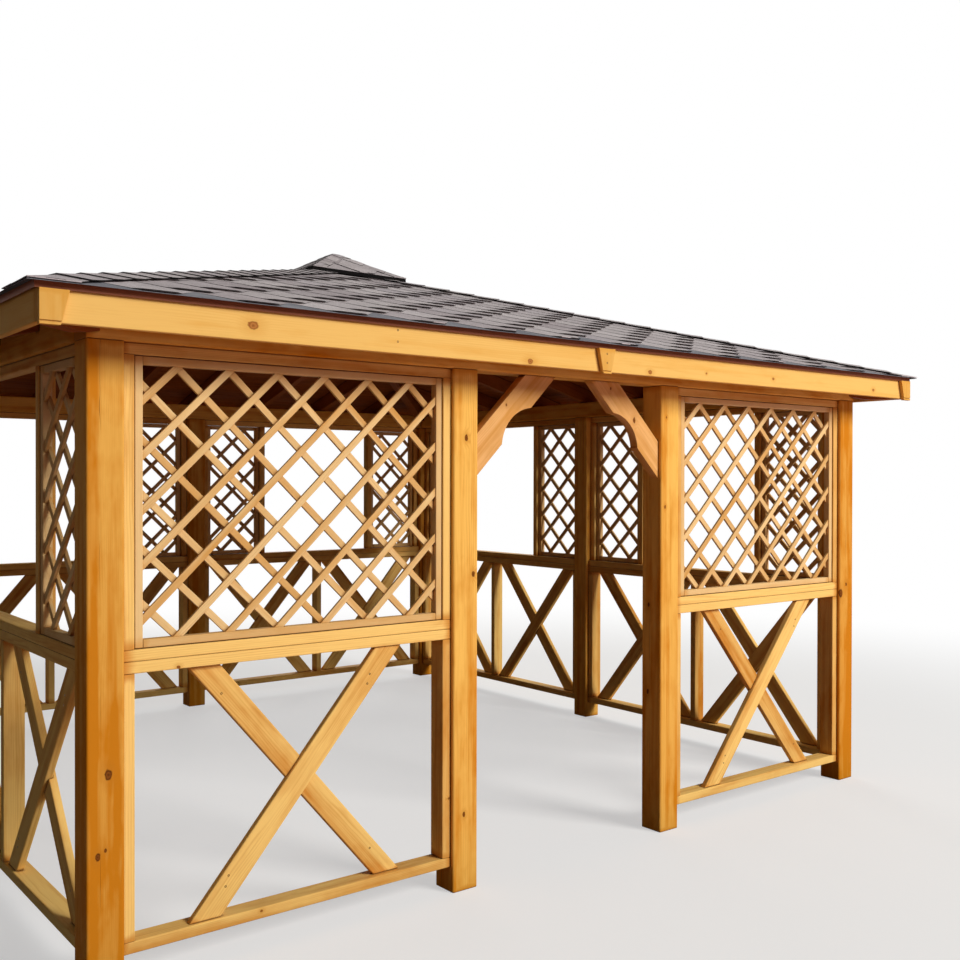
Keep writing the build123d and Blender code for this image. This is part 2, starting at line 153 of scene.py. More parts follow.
def glazedPine(name, look):
    material, add = newMaterial(name)
    place = add("ShaderNodeAttribute", attribute_name="grain").outputs["Vector"]
    board = add("ShaderNodeAttribute", attribute_name="board").outputs["Vector"]
    endCut = add("ShaderNodeAttribute", attribute_name="endCut").outputs["Fac"]
    alongBoard, halfLength, tone = add("ShaderNodeSeparateXYZ", {0: board}).outputs
    across = add("ShaderNodeSeparateXYZ", {0: place}).outputs[1]

    def grainNoise(stretch, scale=1.0, **more):
        # noise drawn out along the grain
        drawn = add("ShaderNodeVectorMath", {0: place, 1: stretch}, operation="MULTIPLY")
        return add("ShaderNodeTexNoise", {"Vector": drawn, "Scale": scale, **more})

    # scattered knots: a cell in three has one, a little rod that crosses the board
    cell = look["knotCell"]
    cellSize = (cell, cell * 0.35, cell * 0.35)
    spread = add("ShaderNodeVectorMath", {0: place, 1: cellSize}, operation="DIVIDE")
    cells = add("ShaderNodeTexVoronoi", {"Vector": spread, "Scale": 1.0}).outputs
    knotPlace = add("ShaderNodeVectorMath", {0: cells["Position"], 1: cellSize}, operation="MULTIPLY")
    away = add("ShaderNodeVectorMath", {0: place, 1: knotPlace}, operation="SUBTRACT")
    flat = add("ShaderNodeVectorMath", {0: away, 1: (0.7, 1.0, 0.35)}, operation="MULTIPLY")
    distance = add("ShaderNodeVectorMath", {0: flat}, operation="LENGTH")
    draw = add("ShaderNodeSeparateColor", {"Color": cells["Color"]})
    size = add("ShaderNodeMapRange", {"Value": draw, "From Min": 0.65, "To Min": 0.00001,
                                      "To Max": look["knotSize"]})
    nearest = add("ShaderNodeMath", {0: distance, 1: size}, operation="DIVIDE")
    # and the knots that show in front, each at its own place
    stretch = look["knotStretch"]
    spot = add("ShaderNodeTexCoord").outputs["Object"]
    stretched = add("ShaderNodeVectorMath", {0: spot, 1: stretch}, operation="MULTIPLY")
    for where, radius in look["knots"]:
        centre = tuple(a * b for a, b in zip(where, stretch))
        off = add("ShaderNodeVectorMath", {0: stretched, 1: centre}, operation="DISTANCE")
        share = add("ShaderNodeMath", {0: off, 1: radius}, operation="DIVIDE")
        nearest = add("ShaderNodeMath", {0: nearest, 1: share}, operation="MINIMUM")
    warp = add("ShaderNodeTexNoise", {"Vector": place, "Scale": 90.0, "Detail": 2.0})
    jitter = add("ShaderNodeMath", {0: warp, 1: 0.7, 2: -0.35}, operation="MULTIPLY_ADD")
    reach = add("ShaderNodeMath", {0: nearest, 1: jitter}, operation="ADD")
    knot = add("ShaderNodeMapRange", {"Value": reach, "From Min": 1.0, "From Max": 0.0})
    knotEdge = add("ShaderNodeMath", {0: knot, 1: 3.5}, operation="MULTIPLY", use_clamp=True)
    halo = add("ShaderNodeMapRange", {"Value": reach, "From Min": 3.4, "From Max": 0.5},
               interpolation_type="SMOOTHSTEP")

    # year lines round a pith beside the board, swaying along the grain and round knots
    sway = grainNoise((1.1, 6.0, 6.0), Detail=3.0).outputs["Color"]
    swayed = add("ShaderNodeVectorMath", {0: sway, 1: (0.0, 0.035, 0.035), 2: place}, operation="MULTIPLY_ADD")
    crossCut = add("ShaderNodeVectorMath", {0: swayed, 1: (0.0, 1.0, 1.0)}, operation="MULTIPLY")
    fromPith = add("ShaderNodeVectorMath", {0: crossCut}, operation="LENGTH")
    pushed = add("ShaderNodeMath", {0: halo, 1: look["knotSize"] * 1.2, 2: fromPith}, operation="MULTIPLY_ADD")
    years = add("ShaderNodeMath", {0: pushed, 1: look["ring"]}, operation="DIVIDE")
    year = add("ShaderNodeMath", {0: years}, operation="FRACT")
    lateWood = add("ShaderNodeValToRGB", {"Fac": year}, stops=[(0.0, "#A0A0A0"), (0.15, "#141414"),
                                                               (0.55, "#3A3A3A"), (0.88, "#FFFFFF"),
                                                               (1.0, "#A0A0A0")])
    patch = grainNoise((2.0, 9.0, 9.0), Detail=2.0)
    lateLevel = add("ShaderNodeMapRange", {"Value": patch, "From Min": 0.38, "From Max": 0.66,
                                           "To Min": look["lateShare"] * 0.25,
                                           "To Max": look["lateShare"] * 1.5})
    lateShare = add("ShaderNodeMath", {0: lateWood, 1: lateLevel}, operation="MULTIPLY")
    fibres = grainNoise((8.0, 380.0, 380.0), Detail=2.0)
    fibreShare = add("ShaderNodeMapRange", {"Value": fibres, "From Min": 0.3, "From Max": 0.7,
                                            "To Min": -0.1, "To Max": 0.14})
    late = add("ShaderNodeMath", {0: lateShare, 1: fibreShare}, operation="ADD", use_clamp=True)
    grain = add("ShaderNodeMix", {0: late, 6: look["pale"], 7: look["late"]}, data_type="RGBA")

    # the glaze: streaks as wide as a brush, deeper orange near board ends where the glaze soaks in, with
    # painted shade where those ends meet other boards, and deeper orange towards the feet of posts
    streak = grainNoise((1.0, 24.0, 24.0), Detail=2.0, Roughness=0.55)
    streakShare = add("ShaderNodeMapRange", {"Value": streak, "From Min": 0.4, "From Max": 0.7,
                                             "To Max": look["streakShare"]}, interpolation_type="SMOOTHSTEP")
    cloud = grainNoise((4.5, 13.0, 13.0), Detail=3.0, Roughness=0.6)
    cloudShare = add("ShaderNodeMapRange", {"Value": cloud, "From Min": 0.45, "From Max": 0.75,
                                            "To Max": look["streakShare"] * 0.8})
    # deeper orange near each board's ends: glaze that soaks in there, and painted shade where the ends meet
    # other boards
    fromMiddle = add("ShaderNodeMath", {0: alongBoard}, operation="ABSOLUTE")
    fromEnd = add("ShaderNodeMath", {0: halfLength, 1: fromMiddle}, operation="SUBTRACT")
    ragged = add("ShaderNodeMath", {0: streak, 1: look["soakReach"]}, operation="MULTIPLY")
    endSoakAndShade = add("ShaderNodeMapRange", {"Value": fromEnd, "From Min": ragged, "From Max": 0.005,
                                        "To Max": look["soakShare"]}, interpolation_type="SMOOTHSTEP")
    height = add("ShaderNodeSeparateXYZ", {0: spot}).outputs[2]
    footShare = add("ShaderNodeMapRange", {"Value": height, "From Min": 1.7, "From Max": 0.2,
                                           "To Max": look["footDepth"]})
    brushed = add("ShaderNodeMath", {0: streakShare, 1: cloudShare}, operation="ADD")
    glaze = add("ShaderNodeMath", {0: brushed, 1: footShare}, operation="ADD")
    ofBoard = add("ShaderNodeMath", {0: tone, 1: look["boardDepth"], 2: glaze}, operation="MULTIPLY_ADD")
    deeper = add("ShaderNodeMath", {0: ofBoard, 1: endSoakAndShade}, operation="MAXIMUM", use_clamp=True)
    glazed = add("ShaderNodeMix", {0: deeper, 6: grain, 7: look["deep"]}, data_type="RGBA")
    haloShare = add("ShaderNodeMath", {0: halo, 1: look["haloShare"]}, operation="MULTIPLY")
    haloed = add("ShaderNodeMix", {0: haloShare, 6: glazed, 7: look["late"]}, data_type="RGBA")
    rimmed = add("ShaderNodeValToRGB", {"Fac": knot}, stops=[(0.0, look["knot"]), (0.3, look["knot"]),
                                                             (0.6, look["knotCore"]), (1.0, look["knot"])])
    shown = add("ShaderNodeMix", {0: knotEdge, 6: haloed, 7: rimmed}, data_type="RGBA")
    if look["check"]:
        # a drying check near the pith, that opens and closes along the post
        wander = grainNoise((1.1, 6.0, 6.0), 3.0, Detail=3.0)
        bent = add("ShaderNodeMath", {0: wander, 1: 0.03, 2: across}, operation="MULTIPLY_ADD")
        centred = add("ShaderNodeMath", {0: bent, 1: look["checkPlace"]}, operation="SUBTRACT")
        aside = add("ShaderNodeMath", {0: centred}, operation="ABSOLUTE")
        gape = add("ShaderNodeMapRange", {"Value": patch, "From Min": 0.5, "From Max": 0.6, "To Min": 0.00001,
                                          "To Max": look["check"]})
        line = add("ShaderNodeMapRange", {"Value": aside, "From Min": gape, "From Max": 0.0})
        dark = add("ShaderNodeMath", {0: line, 1: look["checkShare"]}, operation="MULTIPLY")
        shown = add("ShaderNodeMix", {0: dark, 6: shown, 7: look["knot"]}, data_type="RGBA")
    endShare = add("ShaderNodeMath", {0: endCut, 1: look["endShare"]}, operation="MULTIPLY")
    cutEnds = add("ShaderNodeMix", {0: endShare, 6: shown, 7: look["end"]}, data_type="RGBA")
    level = add("ShaderNodeMath", {0: tone, 1: look["boardTone"], 2: 1.0}, operation="MULTIPLY_ADD")
    toned = add("ShaderNodeHueSaturation", {"Value": level, "Color": cutEnds})
    # painted shade: the pine darkens towards its knot colour in the corners where boards meet, by ambient
    # occlusion
    corner = add("ShaderNodeAmbientOcclusion", {"Distance": look["cornerReach"]}, samples=6).outputs["AO"]
    cornerShare = add("ShaderNodeMapRange", {"Value": corner, "From Min": 0.85, "From Max": 0.35,
                                             "To Max": look["cornerShare"]})
    cornerShaded = add("ShaderNodeMix", {0: cornerShare, 6: toned, 7: look["knot"]}, data_type="RGBA")
    relief = add("ShaderNodeMath", {0: late, 1: 0.6, 2: fibres}, operation="MULTIPLY_ADD")
    bump = add("ShaderNodeBump", {"Strength": 0.2, "Distance": 0.0008, "Height": relief})
    sheen = add("ShaderNodeMapRange", {"Value": fibres, "To Min": 0.55, "To Max": 0.75})
    shader = add("ShaderNodeBsdfPrincipled", {"Base Color": cornerShaded, "Roughness": sheen,
                                              "Specular IOR Level": 0.04, "Normal": bump})
    add("ShaderNodeOutputMaterial", {"Surface": shader})
    return material


# Glass-felt bitumen strip with crushed slate pressed into its face. The eye gets a dull mauve grey
# that differs from tab to tab, speckle, and black cut edges. The 1 mm grit is drawn at 4 mm.
shingleLook = {"tabs": ["#A99D9D", "#B8ADAD", "#C3B9B7", "#CEC4C2", "#B4AAAC"], "cut": "#151110",
               "pale": "#D2C9C6", "dark": "#726766", "speckle": 0.5, "grit": 260.0}


def slateShingle(name, look):
    material, add = newMaterial(name)
    place = add("ShaderNodeTexCoord").outputs["Object"]
    tone = add("ShaderNodeAttribute", attribute_name="tabTone").outputs["Fac"]
    cut = add("ShaderNodeAttribute", attribute_name="cutEdge").outputs["Fac"]
    last = len(look["tabs"]) - 1
    tabs = add("ShaderNodeValToRGB", {"Fac": tone}, stops=[(i / last, c) for i, c in enumerate(look["tabs"])])
    grit = add("ShaderNodeTexVoronoi", {"Vector": place, "Scale": look["grit"]})
    grains = add("ShaderNodeSeparateColor", {"Color": grit.outputs["Color"]}).outputs
    cloud = add("ShaderNodeTexNoise", {"Vector": place, "Scale": 7.0, "Detail": 4.0, "Roughness": 0.65})
    paleShare = add("ShaderNodeMapRange", {"Value": grains[0], "From Min": 0.55, "To Max": look["speckle"]})
    darkShare = add("ShaderNodeMapRange", {"Value": grains[1], "From Min": 0.5, "To Max": look["speckle"]})
    paler = add("ShaderNodeMix", {0: paleShare, 6: tabs, 7: look["pale"]}, data_type="RGBA")
    gritted = add("ShaderNodeMix", {0: darkShare, 6: paler, 7: look["dark"]}, data_type="RGBA")
    level = add("ShaderNodeMapRange", {"Value": cloud, "From Min": 0.3, "From Max": 0.7,
                                       "To Min": 0.88, "To Max": 1.12})
    clouded = add("ShaderNodeHueSaturation", {"Value": level, "Color": gritted})
    edged = add("ShaderNodeMix", {0: cut, 6: clouded, 7: look["cut"]}, data_type="RGBA")
    bump = add("ShaderNodeBump", {"Strength": 0.5, "Distance": 0.001, "Height": grit})
    shader = add("ShaderNodeBsdfPrincipled", {"Base Color": edged, "Roughness": 0.93,
                                              "Specular IOR Level": 0.2, "Normal": bump})
    add("ShaderNodeOutputMaterial", {"Surface": shader})
    return material


# Thin steel sheet, folded and stove-enamelled in reddish brown. The eye gets an even, rather dull
# coat with faint orange peel and a little dust.
enamelLook = {"coat": "#82421F", "dust": "#96582F"}


def enamelledSheet(name, look):
    material, add = newMaterial(name)
    place = add("ShaderNodeTexCoord").outputs["Object"]
    dust = add("ShaderNodeTexNoise", {"Vector": place, "Scale": 9.0, "Detail": 5.0, "Roughness": 0.7})
    peel = add("ShaderNodeTexNoise", {"Vector": place, "Scale": 300.0})
    share = add("ShaderNodeMapRange", {"Value": dust, "From Min": 0.5, "From Max": 0.8, "To Max": 0.4})
    colour = add("ShaderNodeMix", {0: share, 6: look["coat"], 7: look["dust"]}, data_type="RGBA")
    rough = add("ShaderNodeMapRange", {"Value": dust, "To Min": 0.45, "To Max": 0.7})
    bump = add("ShaderNodeBump", {"Strength": 0.08, "Distance": 0.0005, "Height": peel})
    shader = add("ShaderNodeBsdfPrincipled", {"Base Color": colour, "Roughness": rough,
                                              "Specular IOR Level": 0.25, "Normal": bump})
    add("ShaderNodeOutputMaterial", {"Surface": shader})
    return material


# Sand-faced bitumen felt, as rolled out: a starter strip that shows in the notches at the eaves, and
# a darker underlay. The eye gets a flat blue grey with fine sand. The cap's boards and curb are given
# a near black with dull marks, which is painted shade for the dark band under the cap's edge.
starterLook = {"sand": "#8E8D91", "bare": "#727277"}
underlayLook = {"sand": "#4A4644", "bare": "#2E2B2A"}
# painted shade: near black for the cap's boards and curb
capShadeBlackLook = {"sand": "#100C0B", "bare": "#090707"}


def sandedFelt(name, look):
    material, add = newMaterial(name)
    place = add("ShaderNodeTexCoord").outputs["Object"]
    sand = add("ShaderNodeTexNoise", {"Vector": place, "Scale": 240.0, "Detail": 3.0})
    cloud = add("ShaderNodeTexNoise", {"Vector": place, "Scale": 6.0, "Detail": 3.0})
    mixed = add("ShaderNodeMath", {0: sand, 1: cloud}, operation="ADD")
    share = add("ShaderNodeMapRange", {"Value": mixed, "From Min": 0.8, "From Max": 1.2})
    colour = add("ShaderNodeMix", {0: share, 6: look["bare"], 7: look["sand"]}, data_type="RGBA")
    bump = add("ShaderNodeBump", {"Strength": 0.4, "Distance": 0.0008, "Height": sand})
    shader = add("ShaderNodeBsdfPrincipled", {"Base Color": colour, "Roughness": 0.9,
                                              "Specular IOR Level": 0.1, "Normal": bump})
    add("ShaderNodeOutputMaterial", {"Surface": shader})
    return material


# Zinc-plated steel with a yellow passivation, as on wood screws. The eye gets a small dull brassy
# glint with a dark driver recess.
screwLook = {"zinc": "#6A4A20", "soot": "#24160A"}


def platedSteel(name, look):
    material, add = newMaterial(name)
    place = add("ShaderNodeTexCoord").outputs["Object"]
    stain = add("ShaderNodeTexNoise", {"Vector": place, "Scale": 180.0, "Detail": 2.0})
    share = add("ShaderNodeMapRange", {"Value": stain, "From Min": 0.4, "From Max": 0.8, "To Max": 0.7})
    colour = add("ShaderNodeMix", {0: share, 6: look["zinc"], 7: look["soot"]}, data_type="RGBA")
    rough = add("ShaderNodeMapRange", {"Value": stain, "To Min": 0.3, "To Max": 0.6})
    shader = add("ShaderNodeBsdfPrincipled", {"Base Color": colour, "Metallic": 0.7, "Roughness": rough})
    add("ShaderNodeOutputMaterial", {"Surface": shader})
    return material


materials = {
    "post_timber": glazedPine("pinePostsGoldenGlaze", postPine),
    "door_brace": glazedPine("pineDoorBracesGoldenGlaze", doorBracePine),
    "panel_timber": glazedPine("pineRailsGoldenGlaze", panelPine),
    "lattice_timber": glazedPine("pineSlatsPaleGlaze", latticePine),
    "fascia_timber": glazedPine("pineFasciaPaleGlaze", fasciaPine),
    "roof_timber": glazedPine("pineRoofBrownGlaze", roofPineShaded),
    "shingle": slateShingle("bitumenShingleSlateFaced", shingleLook),
    "drip_metal": enamelledSheet("steelSheetBrownEnamel", enamelLook),
    "starter": sandedFelt("bitumenStripSanded", starterLook),
    "underlay": sandedFelt("bitumenFeltSanded", underlayLook),
    "tar": sandedFelt("bitumenPaintBrushed", capShadeBlackLook),
    "screw": platedSteel("steelScrewYellowZinc", screwLook),
}
print("materials made")


# Forms and pieces
sharpAngle = 25.0                  # degrees, from which an edge is eased
flatAngle = 1.0                    # degrees, below which faces become one
mergeDistance = 0.00003


def meshOf(form, name):
    mesh = bpy.data.meshes.new(name)
    form.to_mesh(mesh)
    form.free()
    return mesh


def join(form, other, place=Matrix()):
    bmesh.ops.transform(other, matrix=place, verts=other.verts)
    mesh = meshOf(other, "passing")
    form.from_mesh(mesh)
    bpy.data.meshes.remove(mesh)


def easeEdges(form, width, segments=2):
    sharp = [edge for edge in form.edges
             if len(edge.link_faces) == 2 and edge.calc_face_angle(0) > math.radians(sharpAngle)]
    bmesh.ops.bevel(form, geom=sharp, offset=width, segments=segments, profile=0.5, affect="EDGES",
                    clamp_overlap=True)


def copyOfNode(node):
    form = bmesh.new()
    form.from_mesh(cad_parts[node].data)
    bmesh.ops.remove_doubles(form, verts=form.verts, dist=mergeDistance)
    bmesh.ops.dissolve_limit(form, angle_limit=math.radians(flatAngle), verts=form.verts, edges=form.edges)
    return form


def makePiece(name, form, finish, nodes=()):
    bmesh.ops.recalc_face_normals(form, faces=form.faces)
    mesh = meshOf(form, name)
    mesh.materials.clear()
    mesh.materials.append(materials[finish])
    piece = bpy.data.objects.new(name, mesh)
    scene.collection.objects.link(piece)
    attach(piece, "root")
    if nodes:
        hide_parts(*nodes)


# Boards: every loose part of a mesh is one board with its own grain
usualSide = (-1, 0, 0)             # from which the grain of upright boards is laid out


def looseParts(form):
    form.verts.ensure_lookup_table()
    seen, parts = set(), []
    for start in form.verts:
        if start in seen:
            continue
        seen.add(start)
        part, ahead = [], [start]
        while ahead:
            vert = ahead.pop()
            part.append(vert)
            for edge in vert.link_edges:
                other = edge.other_vert(vert)
                if other not in seen:
                    seen.add(other)
                    ahead.append(other)
        parts.append(part)
    return parts


def markGrain(form, side):
    # grain: metres along, across and through the board, from a pith and a place that differ by board
    # board: metres along from its middle, its half length, and its tone
    # Of equal edges or faces the first made is taken, and upright the face towards side, so that
    # each run gives the same grain.
    form.edges.index_update()
    form.faces.index_update()
    grain = form.verts.layers.float_vector.new("grain")
    board = form.verts.layers.float_vector.new("board")
    endCut = form.faces.layers.float.new("endCut")
    for part in looseParts(form):
        edges = {edge for vert in part for edge in vert.link_edges}
        longest = max(edges, key=lambda edge: (round(edge.calc_length(), 4), -edge.index))
        along = (longest.verts[1].co - longest.verts[0].co).normalized()
        if abs(along.z) > 0.95:
            along = Vector((0, 0, 1))
        faces = {face for vert in part for face in vert.link_faces}
        towards = Vector(side) if along.z == 1 else Vector()
        widest = max((f for f in faces if abs(f.normal.dot(along)) < 0.3),
                     key=lambda f: (round(f.calc_area(), 5), round(f.normal.dot(towards), 2), -f.index))
        across = along.cross(widest.normal).normalized()
        through = across.cross(along).normalized()
        middle = sum((vert.co for vert in part), Vector()) / len(part)
        half = max(abs((vert.co - middle).dot(along)) for vert in part)
        shift = Vector((chance.uniform(0, 40), chance.uniform(-0.03, 0.03),
                        chance.choice((-1, 1)) * chance.uniform(0.03, 0.09)))
        tone = chance.uniform(-1, 1)
        for vert in part:
            away = vert.co - middle
            vert[grain] = Vector((away.dot(along), away.dot(across), away.dot(through))) + shift
            vert[board] = Vector((away.dot(along), half, tone))
        for face in faces:
            face[endCut] = 1.0 if abs(face.normal.dot(along)) > 0.6 else 0.0


# Sticks of timber that keep the shape of their CAD nodes. The nodes are named by how they begin or end.
stickLook = [
    {"starts": ("post_", "beam_"), "ends": (), "slot": "post_timber", "finish": "post_timber", "round": 0.004},
    {"starts": ("door_brace_",), "ends": (), "slot": "post_timber", "finish": "door_brace", "round": 0.002},
    {"starts": (), "ends": ("_balustrade", "_cross_braces", "_screen_frames"), "slot": "panel_timber",
     "finish": "panel_timber", "round": 0.004},
    {"starts": ("fascia_",), "ends": (), "slot": "fascia_timber", "finish": "fascia_timber", "round": 0.0015},
    {"starts": ("hip_", "jack_", "peak_"), "ends": (), "slot": "roof_timber", "finish": "roof_timber",
     "round": 0.002},
]


ownSide = {"post_front_left": (0, -1, 0), "post_front_right": (0, -1, 0)}


def camel(node):
    words = node.split("_")
    return words[0] + "".join(word.capitalize() for word in words[1:])


for look in stickLook:
    for node in sorted(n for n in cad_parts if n.startswith(look["starts"]) or n.endswith(look["ends"])):
        form = copyOfNode(node)
        easeEdges(form, look["round"])
        markGrain(form, ownSide.get(node, usualSide))
        makePiece(camel(node), form, look["finish"], [node])
print("posts, beams, rails, braces, fascias and rafters dressed")


# Geometry Nodes: a tree is started and finished alike, and growForm runs it on a template mesh
def newTree(name, floats, integers=()):
    tree = bpy.data.node_groups.new(name, "GeometryNodeTree")
    tree.interface.new_socket("Geometry", in_out="OUTPUT", socket_type="NodeSocketGeometry")
    kinds = {"Geometry": "Geometry", **dict.fromkeys(floats, "Float"), **dict.fromkeys(integers, "Int"),
             "Material": "Material"}
    for label, kind in kinds.items():
        tree.interface.new_socket(label, in_out="INPUT", socket_type="NodeSocket" + kind)
    return tree, partial(addNode, tree), tree.nodes.new("NodeGroupInput").outputs


def finishTree(add, given, geometry):
    solid = add("GeometryNodeRealizeInstances", {"Geometry": geometry})
    painted = add("GeometryNodeSetMaterial", {"Geometry": solid, "Material": given["Material"]})
    add("NodeGroupOutput", {"Geometry": painted})


def growForm(tree, template, finish, values):
    carrier = bpy.data.objects.new(tree.name + "Carrier", template)
    scene.collection.objects.link(carrier)
    modifier = carrier.modifiers.new("pattern", "NODES")
    modifier.node_group = tree
    values = {**values, "Material": materials[finish]}
    for item in tree.interface.items_tree:
        if item.in_out == "INPUT" and item.name in values:
            modifier[item.identifier] = values[item.name]
    bpy.context.view_layer.update()
    mesh = bpy.data.meshes.new_from_object(carrier.evaluated_get(bpy.context.evaluated_depsgraph_get()))
    bpy.data.objects.remove(carrier)
    form = bmesh.new()
    form.from_mesh(mesh)
    bpy.data.meshes.remove(mesh)
    return form


# Lattice panels: a framed field of slats in two layers, the rising ones outside
latticeLook = {"frameWidth": 0.029, "gap": 0.002, "joint": 0.0002, "round": 0.003, "pitch": 0.183, "rows": 5,
               "slatWidth": 0.024, "slatThickness": 0.012, "housing": 0.0125, "edge": 0.001}


def slatTree():
    # slats through points a pitch apart on the field's lower edge, each cut to the field
    tree, add, given = newTree("latticeSlats", ("Width", "Height", "Pitch", "Slope", "Shift", "Slat Width",
                                                "Slat Thickness", "Housing"), ("Count",))
    index = add("GeometryNodeInputIndex")
    half = add("ShaderNodeMath", {0: given["Width"], 1: 0.5}, operation="MULTIPLY")
    minusHalf = add("ShaderNodeMath", {0: half, 1: -1.0}, operation="MULTIPLY")
    last = add("ShaderNodeMath", {0: given["Count"], 1: 1.0}, operation="SUBTRACT")
    centred = add("ShaderNodeMath", {0: last, 1: -0.5, 2: index}, operation="MULTIPLY_ADD")
    foot = add("ShaderNodeMath", {0: centred, 1: given["Pitch"], 2: given["Shift"]}, operation="MULTIPLY_ADD")
    run = add("ShaderNodeMath", {0: given["Height"], 1: given["Slope"]}, operation="DIVIDE")
    top = add("ShaderNodeMath", {0: foot, 1: run}, operation="ADD")
    leftEnd = add("ShaderNodeMath", {0: foot, 1: top}, operation="MINIMUM")
    rightEnd = add("ShaderNodeMath", {0: foot, 1: top}, operation="MAXIMUM")
    start = add("ShaderNodeMath", {0: leftEnd, 1: minusHalf}, operation="MAXIMUM")
    end = add("ShaderNodeMath", {0: rightEnd, 1: half}, operation="MINIMUM")
    span = add("ShaderNodeMath", {0: end, 1: start}, operation="SUBTRACT")
    long = add("ShaderNodeMath", {0: span, 1: 0.01}, operation="GREATER_THAN")
    both = add("ShaderNodeMath", {0: start, 1: end}, operation="ADD")
    middleX = add("ShaderNodeMath", {0: both, 1: 0.5}, operation="MULTIPLY")
    offset = add("ShaderNodeMath", {0: middleX, 1: foot}, operation="SUBTRACT")
    middleZ = add("ShaderNodeMath", {0: offset, 1: given["Slope"]}, operation="MULTIPLY")
    angle = add("ShaderNodeMath", {0: given["Slope"]}, operation="ARCTANGENT")
    turn = add("ShaderNodeMath", {0: angle, 1: -1.0}, operation="MULTIPLY")
    cosine = add("ShaderNodeMath", {0: angle}, operation="COSINE")
    housed = add("ShaderNodeMath", {0: given["Housing"], 1: 2.0, 2: span}, operation="MULTIPLY_ADD")
    length = add("ShaderNodeMath", {0: housed, 1: cosine}, operation="DIVIDE")
    spot = add("ShaderNodeCombineXYZ", {"X": middleX, "Z": middleZ})
    tilt = add("ShaderNodeCombineXYZ", {"Y": turn})
    size = add("ShaderNodeCombineXYZ", {"X": length, "Y": given["Slat Thickness"], "Z": given["Slat Width"]})
    points = add("GeometryNodePoints", {"Count": given["Count"], "Position": spot})
    bar = add("GeometryNodeMeshCube")
    slats = add("GeometryNodeInstanceOnPoints", {"Points": points, "Selection": long, "Instance": bar,
                                                 "Rotation": tilt, "Scale": size})
    finishTree(add, given, slats)
    return tree


def addBoard(form, low, high):
    for vert in bmesh.ops.create_cube(form, size=1.0)["verts"]:
        vert.co = Vector([(a + b) / 2 + c * (b - a) for a, b, c in zip(low, high, vert.co)])


def latticePanel(tree, look, box):
    # box: the panel in the wall's frame, as lowest and highest corner
    play = Vector((look["gap"], 0.0, look["gap"]))
    low, high = box[0] + play, box[1] - play
    side = look["frameWidth"] - look["gap"]
    left, right = low.x + side + look["joint"], high.x - side - look["joint"]
    form = bmesh.new()
    addBoard(form, low, (low.x + side, high.y, high.z))
    addBoard(form, (high.x - side, low.y, low.z), high)
    addBoard(form, (left, low.y, low.z), (right, high.y, low.z + side))
    addBoard(form, (left, low.y, high.z - side), (right, high.y, high.z))
    easeEdges(form, look["round"])
    width, height = high.x - low.x - 2 * side, high.z - low.z - 2 * side
    crossings = round(width / look["pitch"])
    reach = int((width + height) / look["pitch"]) + 1
    depth = (low.y + high.y) / 2
    for climb, layer in ((1, depth - look["slatThickness"] / 2), (-1, depth + look["slatThickness"] / 2)):
        values = {"Width": width, "Height": height, "Pitch": look["pitch"], "Count": 2 * reach + 1,
                  "Slope": climb * (height / look["rows"] / look["pitch"]),
                  "Shift": look["pitch"] / 2 if crossings % 2 == 0 else 0.0, "Slat Width": look["slatWidth"],
                  "Slat Thickness": look["slatThickness"], "Housing": look["housing"]}
        slats = growForm(tree, bpy.data.meshes.new("empty"), "lattice_timber", values)
        easeEdges(slats, look["edge"], 1)
        bmesh.ops.translate(slats, verts=slats.verts, vec=((low.x + high.x) / 2, layer, low.z + side))
        join(form, slats)
    return form


slats = slatTree()
for wall in wallTurn:
    inverse = wallPlace(wall).inverted()
    outline = copyOfNode(wall + "_lattices")
    panels = bmesh.new()
    for part in looseParts(outline):
        spots = [inverse @ vert.co for vert in part]
        box = [Vector(pick(spot[axis] for spot in spots) for axis in range(3)) for pick in (min, max)]
        join(panels, latticePanel(slats, latticeLook, box))
    outline.free()
    bmesh.ops.transform(panels, matrix=wallPlace(wall), verts=panels.verts)
    markGrain(panels, usualSide)
    makePiece(wall + "Lattices", panels, "lattice_timber", [wall + "_lattices"])
print("lattices built")


# Roof: heights are plumb, and the four slopes meet over the middle
roofLook = {"edge": 2.298, "edgeHeight": 2.188, "peakHeight": 2.838, "shingles": 0.008}
roofFall = (roofLook["peakHeight"] - roofLook["edgeHeight"]) / roofLook["edge"]


def roofTop(x, y):
    return roofLook["peakHeight"] - roofFall * max(abs(x), abs(y))


# Roof boards: tongued and grooved, level along the slope, with a V where two meet underneath
boardLook = {"edge": 2.268, "cover": 0.0925, "thickness": 0.018, "groove": 0.004, "gap": 0.0006,
             "play": 0.0003, "least": 0.004}


def roofBoards(look):
    form = bmesh.new()
    top, under = roofLook["shingles"] + look["play"], roofLook["shingles"] + look["thickness"]
    bite, cover, gap = look["groove"], look["cover"], look["gap"]
    for k in range(int(look["edge"] / cover) + 1):
        low, high = look["edge"] - k * cover, max(look["edge"] - (k + 1) * cover + gap, look["least"])
        if low - high < 3 * bite:
            continue
        profile = [(low, top), (low, under - bite), (low - bite, under), (high + bite, under),
                   (high, under - bite), (high, top)]
        spots = [(max(out - gap, look["least"] / 2), -out, roofTop(0, out) - depth) for out, depth in profile]
        left, right = [[form.verts.new((side * x, y, z)) for x, y, z in spots] for side in (-1, 1)]
        for i in range(len(profile)):
            form.faces.new((left[i - 1], left[i], right[i], right[i - 1]))
        form.faces.new(left[::-1])
        form.faces.new(right)
    return form


deck = bmesh.new()
for wall in wallTurn:
    join(deck, roofBoards(boardLook), turned(wall))
bmesh.ops.recalc_face_normals(deck, faces=deck.faces)
markGrain(deck, usualSide)
makePiece("roofBoards", deck, "roof_timber", ["roof_deck"])
print("roof boards laid")


